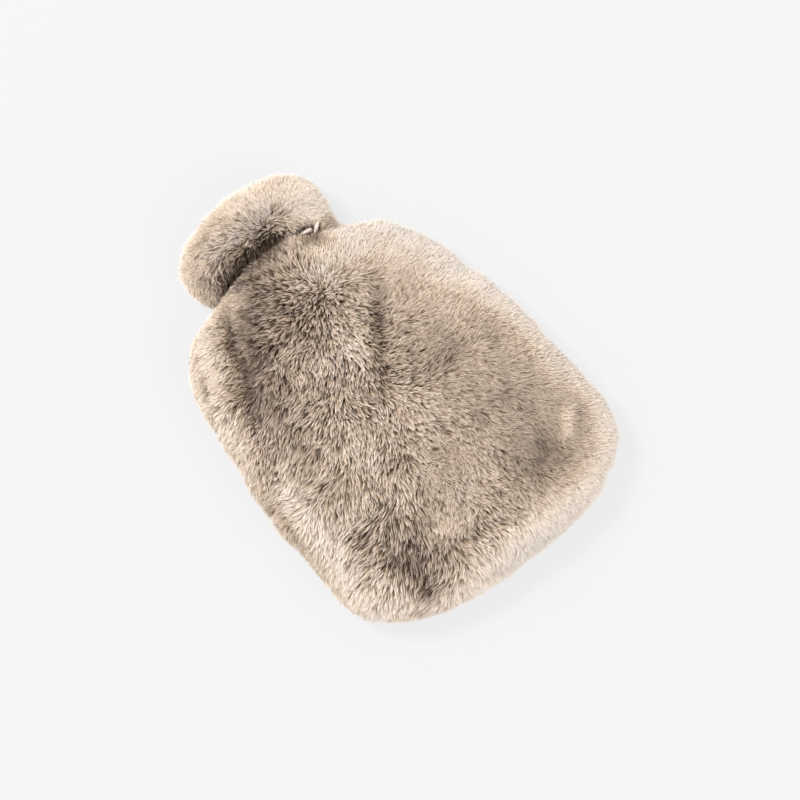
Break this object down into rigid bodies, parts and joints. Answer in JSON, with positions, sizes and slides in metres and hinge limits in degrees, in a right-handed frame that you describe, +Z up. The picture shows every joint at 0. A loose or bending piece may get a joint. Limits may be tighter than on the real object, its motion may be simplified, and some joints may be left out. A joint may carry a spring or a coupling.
{
  "type": "hot water bottle cover",
  "caption": "Plush fur cover for a hot water bottle: a soft hollow pouch that keeps a filled bottle's shape, with a gathered neck and a collar, lying on its back.",
  "frame": {"origin": "middle of the cover's footprint, on the surface that it lies on", "axes": "+Y along the bottle's axis towards the neck, +Z up out of the front panel, +X to the right of someone who looks down on the front with the neck away from them"},
  "size_m": [0.2573, 0.36, 0.0684],
  "materials": {
    "body_fur": "matte long soft pile, beige tips over a darker taupe base",
    "collar_fur": "matte long soft pile, beige tips over a darker taupe base"
  },
  "bodies": {
    "root": {"front_panel": "body_fur", "back_panel": "body_fur", "collar": "collar_fur"}
  },
  "joints": []
}
